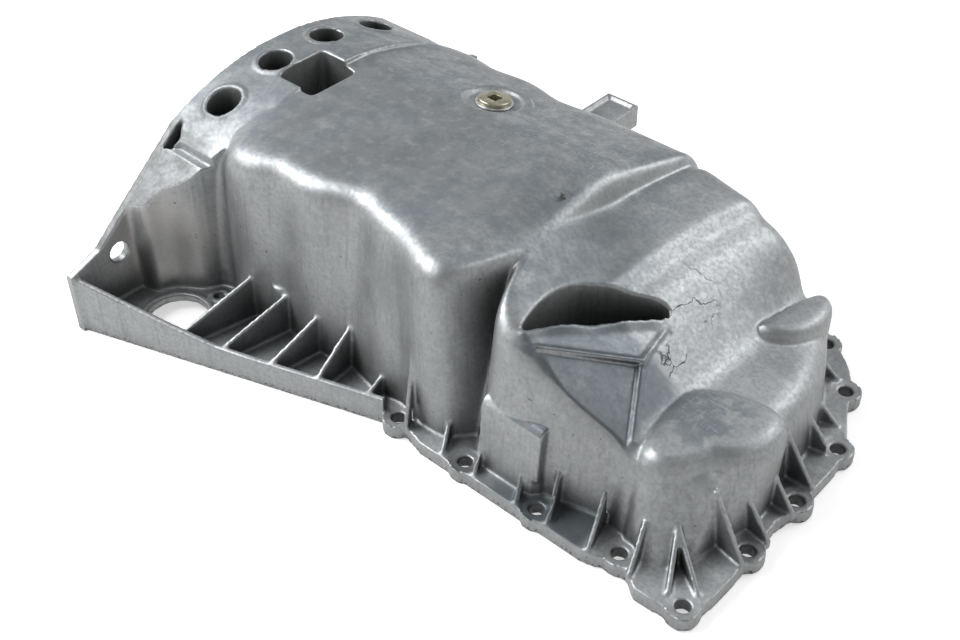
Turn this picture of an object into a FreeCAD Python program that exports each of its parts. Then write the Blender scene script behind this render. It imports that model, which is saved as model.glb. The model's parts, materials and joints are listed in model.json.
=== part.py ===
import FreeCAD, Part
import Sketcher
import math
import os

from FreeCAD import Placement, Rotation, Vector

# Cast aluminium engine oil pan, lying on its sealing face as it would on a bench.
# Origin: rear (gearbox) face, crankshaft plane, sealing face. +X to the timing end, +Z to the sump floor.
# All sizes in millimetres.

doc = FreeCAD.newDocument("engine_oil_pan")
sheet = doc.addObject("Spreadsheet::Sheet", "sizes")

SIZES = [
    ("pan_length", 444.0, "rear face to the near front corner of the flange"),
    ("half_width", 125.0, "crank plane to the straight edge of the flange"),
    ("flange_thick", 10.0, "sealing flange"),
    ("wall", 4.0, "casting wall"),
    ("deck_height", 133.0, "sealing face to the sump floor"),
    ("step_drop", 23.0, "sump floor down to the middle step"),
    ("ledge_drop", 36.0, "sump floor down to the ledge before the nose slope"),
    ("shelf_height", 58.0, "sealing face to the front shelf"),
    ("shoulder", 22.0, "rounding between wall and sump floor"),
    ("lobe_rise", 5.0, "near front lobe above the shelf"),
    ("lobe_roll", 14.0, "rounding round the top of the lobes"),
    ("knob_rise", 7.0, "small far knob above the shelf"),
    ("knob_roll", 8.0, "rounding round the top of the knob"),
    ("pocket_depth", 34.0, "corner pocket below its crest"),
    ("bolt_hole", 9.0, "flange bolt hole"),
    ("bolt_pitch", 55.0, "pitch of the side flange bolts"),
    ("bolt_start", 225.0, "rear face to the first side bolt"),
    ("bolt_inset", 7.5, "flange edge to the bolt row"),
    ("bolt_boss", 20.0, "pad round each flange bolt"),
    ("bolt_lip", 0.6, "spot face round a bolt below the flange face"),
    ("bolt_head_room", 12.0, "height cleared above a flange bolt"),
    ("crank_depth", 58.0, "crank axis below the sealing face"),
    ("crown_rise", 6.0, "rear arch above the sump floor"),
    ("arch_depth", 60.0, "rear face to the front of the arch"),
    ("arch_half", 96.0, "half width of the round part of the arch"),
    ("bay_depth", 72.0, "dry bay behind the gearbox face"),
    ("bay_half", 88.0, "half width of the dry bay"),
    ("well_bore", 23.0, "bolt well in the rear arch"),
    ("well_wall", 3.0, "wall of a bolt well"),
    ("well_pitch", 45.5, "pitch of the bolt wells"),
    ("well_setback", 24.0, "rear face to the well axes"),
    ("well_lip", 1.0, "lip of a well above the arch"),
    ("window_wall", 4.0, "wall of the shaft under the window"),
    ("window_start", 38.0, "rear face to the window"),
    ("window_length", 32.0, "window along the pan"),
    ("window_width", 39.0, "window across the pan"),
    ("window_side", 33.0, "crank plane to the near edge of the window"),
    ("window_corner", 4.0, "corner radius of the window"),
    ("ear_reach", 193.0, "crank plane to the tip of a gearbox ear"),
    ("ear_height", 44.0, "height of the ear tip"),
    ("ear_length", 217.0, "rear face to the front end of the gusset"),
    ("ear_wall", 4.0, "gusset wall"),
    ("ear_wall_height", 20.0, "height of the gusset wall at its front end"),
    ("ear_bolt", 14.0, "gearbox bolt hole in an ear"),
    ("ear_bolt_side", 155.0, "crank plane to the gearbox bolt"),
    ("ear_bolt_height", 45.0, "sealing face to the gearbox bolt"),
    ("port_bore", 41.0, "round port in the near web"),
    ("port_side", 148.5, "crank plane to the port axis"),
    ("port_setback", 50.0, "rear face to the port axis"),
    ("port_ring", 4.0, "width of the raised ring round the port"),
    ("port_rise", 2.0, "raised ring above the web"),
    ("port_relief", 6.0, "depth of the relief under the web, beside the port"),
    ("relief_dia", 50.0, "that relief"),
    ("relief_side", 143.0, "crank plane to its axis"),
    ("relief_setback", 48.0, "rear face to its axis"),
    ("dowel_bore", 7.0, "small hole beside the port"),
    ("dowel_side", 117.0, "crank plane to the small hole"),
    ("dowel_setback", 55.0, "rear face to the small hole"),
    ("rib_thick", 3.0, "stiffening ribs"),
    ("drain_setback", 154.0, "rear face to the drain axis"),
    ("drain_side", 48.5, "crank plane to the drain axis"),
    ("drain_tilt", 8.0, "degrees that the drain leans to the far side, with the strip"),
    ("drain_recess", 3.5, "drain seat below the sloping strip"),
    ("seat_dia", 36.0, "spot face round the drain"),
    ("seat_bevel", 3.5, "bevelled rim round that spot face"),
    ("drain_boss", 50.0, "boss under the drain"),
    ("drain_collar", 2.5, "top of that boss above the spot face"),
    ("plug_dia", 16.0, "plug shank"),
    ("plug_gap", 0.1, "running gap all round the plug shank"),
    ("plug_shank", 20.0, "plug shank below the head"),
    ("plug_head", 22.0, "plug head"),
    ("plug_head_thick", 2.8, "plug head thickness"),
    ("plug_edge", 0.6, "chamfer on the plug head"),
    ("socket_square", 8.0, "square drive in the plug"),
    ("socket_depth", 8.0, "depth of the square drive"),
    ("washer_dia", 25.0, "sealing washer"),
    ("washer_thick", 1.5, "sealing washer thickness"),
    ("lug_setback", 185.0, "rear face to the middle of the lug"),
    ("lug_width", 26.0, "lug on the far wall, along the pan"),
    ("lug_reach", 147.0, "crank plane to the end of the lug"),
    ("lug_height", 96.0, "sealing face to the top of the lug"),
    ("lug_thick", 16.0, "lug thickness"),
    ("lug_rim", 2.5, "rim round the tray on top of the lug"),
    ("lug_tray", 2.5, "depth of that tray"),
    ("crest_bead", 4.4, "bead along the pocket crest"),
    ("facet_bead", 3.4, "bead along the other facet edges"),
    ("facet_sink", 4.0, "dark facet below the nose slope"),
    ("rim_thick", 6.0, "gearbox rim in front of its notch"),
    ("notch_floor", 98.0, "sealing face to the notch beside the first well"),
    ("ledge_floor", 104.0, "sealing face to the ledge that runs on from the notch"),
    ("flute_dia", 8.0, "upright flutes low behind the near ear"),
    ("half_boss", 16.0, "half round boss on the near wall"),
    ("half_boss_height", 41.0, "sealing face to the top of that boss"),
]


def fill_sheet():
    """Write every size into the sheet, with its name as alias."""
    for row, (alias, number, note) in enumerate(SIZES, start=1):
        sheet.set(f"A{row}", alias)
        sheet.set(f"B{row}", str(number))
        sheet.set(f"C{row}", note)
        sheet.setAlias(f"B{row}", alias)
    doc.recompute()


def mm(alias):
    """One size from the sheet."""
    return float(sheet.get(alias))


fill_sheet()

LENGTH = mm("pan_length")
HALF = mm("half_width")
FLANGE = mm("flange_thick")
WALL = mm("wall")
DECK = mm("deck_height")
STEP = DECK - mm("step_drop")
LEDGE = DECK - mm("ledge_drop")
SHELF = mm("shelf_height")
SHOULDER = mm("shoulder")
ARCH_HALF = mm("arch_half")
EAR_REACH = mm("ear_reach")
EAR_LENGTH = mm("ear_length")
CRANK = mm("crank_depth")
ARCH_RADIUS = DECK + mm("crown_rise") + CRANK
BELOW = FLANGE

# Near wall in plan: share of the length, then shares of the half width at the flange and at the shoulder.
# The bulges between the bolt places lean out more at the top than the hollows do.
NEAR_WALL = [
    (0.090, -0.900, -0.880), (0.113, -0.830, -0.780), (0.135, -0.830, -0.800), (0.160, -0.900, -0.880),
    (0.215, -0.900, -0.890), (0.250, -0.845, -0.800), (0.300, -0.890, -0.845), (0.345, -0.880, -0.800),
    (0.385, -0.835, -0.720), (0.430, -0.890, -0.790), (0.470, -0.890, -0.800), (0.497, -0.850, -0.840),
    (0.525, -0.900, -0.890), (0.562, -0.900, -0.920), (0.585, -0.890, -0.900), (0.600, -0.830, -0.700),
    (0.612, -0.790, -0.560), (0.624, -0.830, -0.660), (0.640, -0.880, -0.820), (0.680, -0.890, -0.850),
    (0.720, -0.880, -0.830), (0.780, -0.840, -0.780), (0.820, -0.800, -0.720), (0.860, -0.840, -0.740),
    (0.930, -0.800, -0.640), (0.962, -0.780, -0.600),
]
# Far wall in plan, the same way.
FAR_WALL = [
    (0.090, 0.880, 0.856), (0.135, 0.890, 0.874), (0.160, 0.895, 0.885), (0.215, 0.900, 0.880),
    (0.250, 0.860, 0.822), (0.300, 0.895, 0.890), (0.345, 0.880, 0.860), (0.385, 0.850, 0.800),
    (0.430, 0.890, 0.840), (0.470, 0.885, 0.864), (0.525, 0.870, 0.862), (0.562, 0.880, 0.868),
    (0.600, 0.870, 0.846), (0.680, 0.890, 0.820), (0.770, 0.890, 0.820), (0.870, 0.880, 0.800),
    (0.962, 0.860, 0.760),
]
# Roof line along the pan as (share of the length, height); the far half has a crisp step, the near one a ramp.
FAR_ROOF = [
    (0.000, DECK), (0.560, DECK - 1), (0.585, DECK - 3), (0.600, DECK - 7), (0.607, STEP + 4),
    (0.620, STEP + 1.5), (0.690, STEP - 3), (0.700, STEP - 4), (0.708, STEP - 6), (0.722, LEDGE),
    (0.734, LEDGE - 1), (0.750, LEDGE - 4), (0.838, SHELF + 2), (0.858, SHELF - 1), (0.900, SHELF - 2),
    (0.930, SHELF - 4), (0.948, SHELF - 12),
]
NEAR_ROOF = [(0.000, DECK), (0.565, DECK), (0.600, DECK - 6), (0.662, STEP + 1)] + FAR_ROOF[6:]
# Where the roof changes from flat to the sloping far strip, and how steeply that strip falls.
STRIP_START = 0.24
STRIP_FALL = 0.26
FRONT_END = 0.948
INNER_STATIONS = 15
INNER_SPREAD = 0.030
FRONT_WALL = [(0.951, 0.80), (0.957, 0.45), (0.960, 0.0)]


def along_line(points, share, column=1):
    """Straight interpolation in a list of (share, value ...) rows."""
    for before, after in zip(points, points[1:]):
        if share <= after[0]:
            part = (share - before[0]) / (after[0] - before[0])
            return before[column] + max(part, 0.0) * (after[column] - before[column])
    return points[-1][column]


def around(share, inset):
    """The place itself for the outside; for the cavity also the places before and after it."""
    if not inset:
        return [share]
    return [share + INNER_SPREAD * part for part in (-1.0, -0.67, -0.33, 0.0, 0.33, 0.67, 1.0)]


def innermost(points, share, column, inset):
    """Wall line at a place, or for the cavity the line nearest the crank plane around it."""
    return min([along_line(points, place, column) for place in around(share, inset)], key=abs)


def ramp(number, low, high):
    """0 below low, 1 above high, straight between."""
    return min(max((number - low) / (high - low), 0.0), 1.0)


def arch_height(across):
    """Height of the round rear arch, which is centred on the crankshaft."""
    return math.sqrt(ARCH_RADIUS ** 2 - across ** 2) - CRANK


def roof_height(share, across):
    """Height of the sump floor, steps and nose at a place in the plan."""
    near = along_line(NEAR_ROOF, share)
    far = along_line(FAR_ROOF, share)
    height = near + (far - near) * ramp(across, -0.25 * HALF, 0.15 * HALF)
    strip = max(across - STRIP_START * HALF, 0.0) * STRIP_FALL
    height -= strip * ramp(share, 0.62, 0.58) if share > 0.58 else strip
    rear = ramp(share, 0.165, 0.115)
    crowned = arch_height(across) - mm("well_lip")
    return height + (crowned - height) * rear


def bend(share, across):
    """Rows swing forward on the far side of the steps and backward round the nose."""
    side = max(across, 0.0) / HALF
    forward = 0.042 * LENGTH * side ** 2 * ramp(share, 0.52, 0.62) * ramp(share, 0.96, 0.78)
    backward = 0.148 * LENGTH * side ** 2 * ramp(share, 0.78, 0.96)
    return forward - backward


def section_points(share, inset, top_share):
    """Control points of one cross section, from the near flange over the roof to the far flange."""
    near_base = HALF * innermost(NEAR_WALL, share, 1, inset) + inset
    near_head = HALF * innermost(NEAR_WALL, share, 2, inset) + inset
    far_base = HALF * innermost(FAR_WALL, share, 1, inset) - inset
    far_head = HALF * innermost(FAR_WALL, share, 2, inset) - inset
    crease = STRIP_START * HALF
    roll = SHOULDER - inset
    columns = [near_head, near_head + 0.5 * roll, near_head + roll, -0.45 * HALF, -0.25 * HALF,
               -0.05 * HALF, 0.15 * HALF, crease - 2, crease + 2, 0.40 * HALF, 0.55 * HALF,
               far_head - roll, far_head - 0.5 * roll, far_head]
    roof = []
    for across in columns:
        height = min(roof_height(place, across) for place in around(share, inset))
        roof.append((across, (height - inset) * top_share))
    near_top = roof[0][1]
    far_top = roof[-1][1]
    low = -BELOW if inset else 0.0
    near = [(near_base, low), (near_base + 0.3 * (near_head - near_base), 0.3 * near_top),
            (near_head, max(near_top - roll, 0.55 * near_top))]
    far = [(far_head, max(far_top - roll, 0.55 * far_top)),
           (far_base + 0.3 * (far_head - far_base), 0.3 * far_top), (far_base, low)]
    roof[0] = (near_head + 0.1 * roll, near_top - 0.3 * roll)
    roof[-1] = (far_head - 0.1 * roll, far_top - 0.3 * roll)
    if top_share <= 0.0:
        return [(across, low) for across, height in near + roof + far]
    return near + roof + far


def station_shares(start, inset):
    """Places of the cross sections: at the wall waves and roof steps outside, evenly spread inside."""
    if inset:
        return [start + (FRONT_END - start) * step / INNER_STATIONS for step in range(INNER_STATIONS + 1)]
    marks = [row[0] for row in NEAR_WALL + FAR_ROOF if start <= row[0] <= FRONT_END]
    kept = []
    for share in sorted(marks):
        if not kept or share - kept[-1] > 0.005:
            kept.append(share)
    return kept[:-1] + [FRONT_END]


def clamped_knots(count):
    """Knots and multiplicities of an open cubic spline with count control points."""
    knots = list(range(count - 2))
    return [4] + [1] * (count - 4) + [4], knots


def skin(start, inset):
    """Closed body under one smooth sheet: inset 0 gives the outside, the wall gives the cavity."""
    rows = []
    for share in station_shares(start, inset):
        points = section_points(share, inset, 1.0)
        rows.append([(share, across, height) for across, height in points])
    for share, top_share in FRONT_WALL:
        points = section_points(FRONT_END, inset, top_share)
        rows.append([(share, across, height) for across, height in points])
    poles = []
    for row in rows:
        front = inset * ramp(row[0][0], 0.90, 0.95)
        poles.append([Vector(LENGTH * share + bend(share, across) - front, across, height)
                      for share, across, height in row])
    row_mults, row_knots = clamped_knots(len(poles))
    column_mults, column_knots = clamped_knots(len(poles[0]))
    sheet_surface = Part.BSplineSurface()
    sheet_surface.buildFromPolesMultsKnots(poles, row_mults, column_mults, row_knots, column_knots,
                                           False, False, 3, 3)
    roof = sheet_surface.toShape()
    rear = [edge for edge in roof.Edges if edge.BoundBox.XLength < 0.01][0]
    rim = [edge for edge in roof.Edges if edge.BoundBox.ZLength < 0.01]
    ends = [vertex.Point for vertex in rear.Vertexes]
    sill = Part.makeLine(ends[0], ends[1])
    floor = Part.Face(Part.Wire(Part.__sortEdges__(rim + [sill])))
    back = Part.Face(Part.Wire(Part.__sortEdges__([rear, sill])))
    shell = Part.makeShell([roof, floor, back])
    shell.sewShape()
    body = Part.makeSolid(shell)
    if body.Volume < 0:
        body.reverse()
    return body


def plan_points(shares):
    """Places in the plan from shares of the length and half width."""
    return [(LENGTH * along, HALF * across) for along, across in shares]


def flat_wire(points, height=0.0):
    """Closed outline of straight edges at one height."""
    corners = [Vector(along, across, height) for along, across in points]
    return Part.makePolygon(corners + corners[:1])


def prism(points, low, high):
    """Upright prism between two heights."""
    return Part.Face(flat_wire(points, low)).extrude(Vector(0, 0, high - low))


def spline_edge(corners, height=0.0):
    """Smooth open edge guided by its corner points."""
    curve = Part.BSplineCurve()
    curve.buildFromPoles([Vector(along, across, height) for along, across in corners], False, 3)
    return curve.toShape()


def post(centre, diameter, low, high):
    """Upright round bar between two heights."""
    return Part.makeCylinder(diameter / 2, high - low, Vector(centre[0], centre[1], low))


def mirrored(shape):
    """The same shape on the other side of the crank plane."""
    return shape.mirror(Vector(0, 0, 0), Vector(0, 1, 0))


def ring_outline(points, height):
    """Smooth closed outline guided by its corner points, at one height."""
    curve = Part.BSplineCurve()
    curve.buildFromPoles([Vector(along, across, height) for along, across in points], True, 3)
    return Part.Wire([curve.toShape()])


def drawn_in(points, inset):
    """The same closed outline, each point moved to the inside by inset."""
    moved = []
    for index, (along, across) in enumerate(points):
        before = points[index - 1]
        after = points[(index + 1) % len(points)]
        run = after[0] - before[0]
        rise = after[1] - before[1]
        reach = math.hypot(run, rise)
        moved.append((along - rise / reach * inset, across + run / reach * inset))
    return moved


def rounded_block(base, head, top, radius, inset):
    """Drafted block whose sides roll over to a flat top in a quarter round."""
    rings = [ring_outline(drawn_in(base, inset), -BELOW if inset else 0.0)]
    steps = 4
    for step in range(steps + 1):
        angle = math.radians(90.0 * step / steps)
        roll = (radius - inset) * (1.0 - math.cos(angle))
        rise = (radius - inset) * math.sin(angle)
        rings.append(ring_outline(drawn_in(head, inset + roll), top - radius + rise))
    return Part.makeLoft(rings, True, True)


# Rounded lobe over the near front corner, in shares of the length and half width: a near and a front half.
LOBE_NEAR_BASE = [
    (0.842, -0.30), (0.840, -0.62), (0.862, -0.84), (0.892, -0.905), (0.928, -0.915), (0.950, -0.87),
    (0.944, -0.70), (0.925, -0.35), (0.880, -0.25),
]
LOBE_NEAR_HEAD = [
    (0.815, -0.20), (0.818, -0.46), (0.838, -0.66), (0.862, -0.730), (0.900, -0.700), (0.924, -0.56),
    (0.944, -0.40), (0.945, -0.16), (0.870, -0.08),
]
LOBE_FRONT_BASE = [
    (0.850, -0.30), (0.880, -0.56), (0.925, -0.66), (0.960, -0.64), (0.974, -0.48), (0.974, -0.22),
    (0.950, -0.06), (0.880, -0.06),
]
LOBE_FRONT_HEAD = [
    (0.822, -0.22), (0.840, -0.44), (0.890, -0.56), (0.940, -0.50), (0.970, -0.34), (0.972, -0.14),
    (0.945, -0.02), (0.870, -0.06),
]
KNOB = [
    (0.832, 0.40), (0.822, 0.33), (0.846, 0.29), (0.878, 0.36), (0.896, 0.50), (0.894, 0.66), (0.872, 0.77),
    (0.842, 0.72),
]
# Corner facets: the crest of the pocket runs from A to B, the facets go down to C and D.
POINT_A = (0.682, -0.768, 0.812)
POINT_B = (0.771, -0.096, 0.624)
POINT_C = (0.784, -0.360, 0.601)
POINT_D = (0.833, -0.640, 0.459)
POINT_E = (0.704, -0.764, 0.770)
POCKET_BACK = [(0.664, -0.60), (0.664, -0.38), (0.700, -0.25), (0.735, -0.10), (0.762, -0.03)]


def corner(share):
    """A corner of the facets, from shares of the length, half width and floor height."""
    return Vector(LENGTH * share[0], HALF * share[1], DECK * share[2])


def facet_cut(first, second, third, outline, inset):
    """What lies above the plane through three points, within an outline in plan."""
    normal = (second - first).cross(third - first).normalize()
    if normal.z < 0:
        normal = normal * -1
    reach = 2.0 * LENGTH
    slab = Part.makeBox(reach, reach, reach, Vector(-reach / 2, -reach / 2, 0))
    slab.Placement = Placement(first - normal * inset, Rotation(Vector(0, 0, 1), normal))
    return slab.common(prism(outline, 0.0, 2.0 * DECK))


def facet_cuts(inset):
    """Both facets at the near front corner: the bright one under the crest, the sunk one below it."""
    sink = Vector(0, 0, mm("facet_sink"))
    crest = plan_points([POINT_A[:2], POINT_B[:2], (0.830, -0.30), POINT_C[:2], POINT_E[:2]])
    flank = plan_points([POINT_E[:2], POINT_C[:2], POINT_D[:2], (0.835, -1.00), (0.704, -1.00)])
    upper = facet_cut(corner(POINT_A), corner(POINT_B), corner(POINT_C), crest, inset)
    lower = facet_cut(corner(POINT_E), corner(POINT_C) - sink, corner(POINT_D) - sink, flank, inset)
    return upper.fuse(lower)


def bead(start, end, diameter):
    """Round bead along an edge; it runs on by half its size past the end."""
    run = end - start
    return Part.makeCylinder(diameter / 2, run.Length + diameter / 2, start, run)


def facet_beads():
    """Beads along the crest and the facet edges; the lowest one rounds the step to the sunk facet."""
    thick = mm("crest_bead")
    thin = mm("facet_bead")
    sunk = Vector(0, 0, thick / 4)
    low = Vector(0, 0, mm("facet_sink") / 2)
    places = (POINT_A, POINT_B, POINT_C, POINT_D, POINT_E)
    crest, far_end, elbow, foot, joint = [corner(place) for place in places]
    return [bead(crest - sunk, far_end - sunk, thick), bead(far_end, elbow, thin), bead(joint, elbow, thin),
            bead(elbow - low, foot - low, thick)]


def pocket(margin):
    """D-shaped pocket behind the crest; the margin gives the room that its own wall needs."""
    crest = [corner(POINT_A), corner(POINT_B)]
    run = (crest[1] - crest[0]).normalize()
    behind = Vector(-run.y, run.x, 0) * (mm("crest_bead") * 0.45)
    outline = [(point.x + behind.x, point.y + behind.y) for point in crest] + plan_points(POCKET_BACK[::-1])
    outline = drawn_in(outline, -margin)
    back = outline[1:] + outline[:1]
    front_edge = Part.makeLine(Vector(*outline[0], 0), Vector(*outline[1], 0))
    floor = crest[1].z - mm("pocket_depth") - margin
    outline = Part.Wire([front_edge, spline_edge(back)])
    face = Part.Face(outline)
    face.translate(Vector(0, 0, floor))
    return face.extrude(Vector(0, 0, 2 * DECK - floor))


def lobes(inset):
    """Both halves of the rounded lobe, or the room inside them."""
    top = SHELF + mm("lobe_rise") - inset
    roll = mm("lobe_roll")
    near = rounded_block(plan_points(LOBE_NEAR_BASE), plan_points(LOBE_NEAR_HEAD), top, roll, inset)
    front = rounded_block(plan_points(LOBE_FRONT_BASE), plan_points(LOBE_FRONT_HEAD), top, roll, inset)
    return [near, front]


def outer_body():
    """Outside of the sump, steps and nose, with the corner facets."""
    body = skin(0.09, 0.0).cut(facet_cuts(0.0))
    knob_top = SHELF + mm("knob_rise")
    knob = rounded_block(plan_points(KNOB), plan_points(KNOB), knob_top, mm("knob_roll"), 0.0)
    for form in lobes(0.0) + [knob] + facet_beads():
        body = body.fuse(form)
    return body


def oil_space():
    """Inside of the casting that holds the oil, open at the sealing face."""
    body = skin((mm("bay_depth") + WALL) / LENGTH, WALL)
    return body.cut(facet_cuts(WALL)).cut(pocket(WALL)).multiFuse(lobes(WALL))


# Flange in plan, from the near gusset round the front to the far gusset.
FLANGE_NEAR = [
    (0.520, -0.960), (0.560, -1.000), (0.842, -1.000), (0.858, -0.985), (0.872, -0.955), (0.902, -0.955),
    (0.918, -1.000), (0.925, -1.016), (0.984, -1.000), (1.000, -0.960), (1.003, -0.800), (1.002, -0.600),
    (0.996, -0.400), (0.993, -0.300), (0.998, -0.200), (1.000, -0.020),
]
FLANGE_FRONT = [
    (1.000, -0.020), (1.000, 0.120), (0.998, 0.250), (0.980, 0.400), (0.956, 0.520), (0.938, 0.700),
    (0.904, 0.860), (0.850, 0.985), (0.750, 1.000),
]


def flange_plate():
    """Sealing flange and the webs of both gearbox ears, one flat plate."""
    near = [(0.0, -EAR_REACH), (EAR_LENGTH, -0.968 * HALF)] + plan_points(FLANGE_NEAR)
    far = [plan_points(FLANGE_FRONT)[-1], (EAR_LENGTH, 0.968 * HALF), (0.0, EAR_REACH), (0.0, -EAR_REACH)]
    edges = [Part.makeLine(Vector(*start, 0), Vector(*end, 0)) for start, end in zip(near, near[1:])]
    edges.append(spline_edge(plan_points(FLANGE_FRONT)))
    edges += [Part.makeLine(Vector(*start, 0), Vector(*end, 0)) for start, end in zip(far, far[1:])]
    return Part.Face(Part.Wire(edges)).extrude(Vector(0, 0, FLANGE))


# Rear wall in plan, as shares of the arch depth and of the ear reach: concave between ear and sump.
EAR_CURVE = [
    (0.10, 1.000), (0.10, 0.900), (0.11, 0.800), (0.11, 0.750), (0.13, 0.735), (0.33, 0.728), (0.36, 0.700),
    (0.44, 0.650), (0.64, 0.620), (0.74, 0.585), (0.85, 0.500), (1.00, 0.410),
]
# Rim of the gearbox face outside the round arch: shares from the arch edge out to the ear tip.
RIM_STEPS = [(0.25, 0.715), (0.50, 0.430), (0.75, 0.130), (1.00, 0.000)]


def rear_arch():
    """Gearbox end: a round arch centred on the crankshaft, with an ear out to each side."""
    depth = mm("arch_depth")
    curve = [(depth * along, -EAR_REACH * across) for along, across in EAR_CURVE]
    side = spline_edge(curve)
    far_side = mirrored(side)
    plan = Part.Wire(Part.__sortEdges__([
        side, far_side,
        Part.makeLine(Vector(*curve[-1], 0), Vector(curve[-1][0], -curve[-1][1], 0)),
        Part.makeLine(Vector(*curve[0], 0), Vector(0, curve[0][1], 0)),
        Part.makeLine(Vector(0, curve[0][1], 0), Vector(0, -curve[0][1], 0)),
        Part.makeLine(Vector(0, -curve[0][1], 0), Vector(curve[0][0], -curve[0][1], 0)),
    ]))
    footprint = Part.Face(plan).extrude(Vector(0, 0, 2 * DECK))
    edge_height = arch_height(ARCH_HALF)
    tip_height = mm("ear_height")
    rim = [Vector(0, -ARCH_HALF, edge_height)]
    for outward, upward in RIM_STEPS:
        rim.append(Vector(0, -ARCH_HALF - (EAR_REACH - ARCH_HALF) * outward,
                          tip_height + (edge_height - tip_height) * upward))
    rim.append(Vector(0, -EAR_REACH, 0))
    far_rim = [Vector(0, -point.y, point.z) for point in rim]
    crown = Part.Arc(rim[0], Vector(0, 0, arch_height(0)), far_rim[0]).toShape()
    bottom = Part.makeLine(rim[-1], far_rim[-1])
    profile = Part.Wire(Part.__sortEdges__([crown, bottom] + Part.makePolygon(rim).Edges
                                           + Part.makePolygon(far_rim).Edges))
    return Part.Face(profile).extrude(Vector(2 * depth, 0, 0)).common(footprint)


def dry_bay():
    """Open bay behind the gearbox face, in front of the oil space; the bolt wells stand in it."""
    half = mm("bay_half")
    radius = ARCH_RADIUS - mm("crown_rise") - WALL
    floor = FLANGE + WALL / 2
    edge = math.sqrt(radius ** 2 - half ** 2) - CRANK
    outline = [(-half, edge), (-half, floor), (half, floor), (half, edge)]
    corners = [Vector(-1, across, height) for across, height in outline]
    crown = Part.Arc(corners[0], Vector(-1, 0, radius - CRANK), corners[3]).toShape()
    wire = Part.Wire(Part.makePolygon(corners).Edges + [crown])
    return Part.Face(wire).extrude(Vector(mm("bay_depth") + 1, 0, 0))


def well_places():
    """Axes of the four bolt wells in the arch."""
    pitch = mm("well_pitch")
    return [(mm("well_setback"), pitch * step) for step in (-1.5, -0.5, 0.5, 1.5)]


def bolt_wells():
    """Tubes of the four wells, from the flange up to a lip just above the arch."""
    limit = Part.makeCylinder(ARCH_RADIUS + mm("well_lip"), LENGTH, Vector(0, 0, -CRANK), Vector(1, 0, 0))
    outside = mm("well_bore") + 2 * mm("well_wall")
    tubes = [post(place, outside, FLANGE / 2, 2 * DECK) for place in well_places()]
    return tubes[0].multiFuse(tubes[1:]).common(limit)


def gusset():
    """Thin outer wall from the ear tip to the flange, high at the gearbox face."""
    start = Vector(0, -EAR_REACH, 0)
    run = Vector(EAR_LENGTH, EAR_REACH - 0.968 * HALF, 0)
    low = mm("ear_wall_height")
    high = mm("ear_height")
    heights = [(0.0, 1.0), (0.17, 0.62), (0.33, 0.29), (0.47, 0.04), (0.60, 0.0), (1.0, 0.0)]
    top = [start + run * share + Vector(0, 0, low + (high - low) * part) for share, part in heights]
    outline = [start] + top + [start + run]
    side = Vector(-run.y, run.x, 0).normalize() * mm("ear_wall")
    wall = Part.Face(Part.makePolygon(outline + outline[:1])).extrude(side)
    return wall.common(Part.makeBox(EAR_LENGTH, EAR_REACH, DECK, Vector(0, -EAR_REACH, 0)))


def upright_rib(outer, inner, outer_height, inner_height):
    """Thin triangular rib from a low outer end up to the wall."""
    foot = FLANGE / 2
    first = Vector(outer[0], outer[1], 0)
    last = Vector(inner[0], inner[1], 0)
    corners = [first + Vector(0, 0, foot), last + Vector(0, 0, foot), last + Vector(0, 0, inner_height),
               first + Vector(0, 0, outer_height)]
    run = (last - first).normalize()
    side = Vector(-run.y, run.x, 0) * mm("rib_thick")
    web = Part.Face(Part.makePolygon(corners + corners[:1])).extrude(side)
    web.translate(side * -0.5)
    return web


# Ribs of the near gusset: outer end and wall end along the pan, height on the wall.
GUSSET_RIBS = [(0.171, 0.200, 0.346), (0.239, 0.261, 0.308), (0.315, 0.329, 0.316), (0.387, 0.381, 0.316),
               (0.462, 0.453, 0.196)]
# Ribs between the flange bolts: outer end and wall end along the pan, height on the wall.
SIDE_RIBS = [(0.532, 0.514, 0.684), (0.601, 0.574, 0.226), (0.658, 0.635, 0.300), (0.730, 0.707, 0.278),
             (0.782, 0.761, 0.270), (0.847, 0.831, 0.263), (0.909, 0.892, 0.226)]
FAR_RIBS = 4
# Ribs on the front: outer and inner end in the plan, height on the wall.
FRONT_RIBS = [((1.002, -0.600), (0.945, -0.560), 0.36), ((1.006, -0.416), (0.945, -0.400), 0.34),
              ((1.004, -0.208), (0.945, -0.200), 0.34), ((0.998, -0.016), (0.945, -0.016), 0.34),
              ((0.984, 0.232), (0.930, 0.200), 0.32), ((0.962, 0.416), (0.905, 0.360), 0.30),
              ((0.915, 0.700), (0.850, 0.620), 0.34),
              ((0.960, -0.945), (0.925, -0.72), 0.23), ((0.988, -0.860), (0.925, -0.72), 0.23)]


def gusset_ribs():
    """Five ribs between the gusset wall and the sump."""
    ribs = []
    for outer, inner, height in GUSSET_RIBS:
        along = LENGTH * outer
        edge = -EAR_REACH + along / EAR_LENGTH * (EAR_REACH - 0.968 * HALF) + 1.0
        ribs.append(upright_rib((along, edge), (LENGTH * inner, -0.80 * HALF), mm("ear_wall_height"),
                                DECK * height))
    return ribs


def side_ribs(count):
    """Ribs between the bolts of the straight sides; the far side is shorter."""
    return [upright_rib((LENGTH * outer, -0.985 * HALF), (LENGTH * inner, -0.80 * HALF), FLANGE + 1,
                        DECK * height) for outer, inner, height in SIDE_RIBS[:count]]


def front_ribs():
    """Ribs round the front, with a pair that meets over the near corner."""
    return [upright_rib(plan_points([outer])[0], plan_points([inner])[0], FLANGE + 1, DECK * height)
            for outer, inner, height in FRONT_RIBS]


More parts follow.
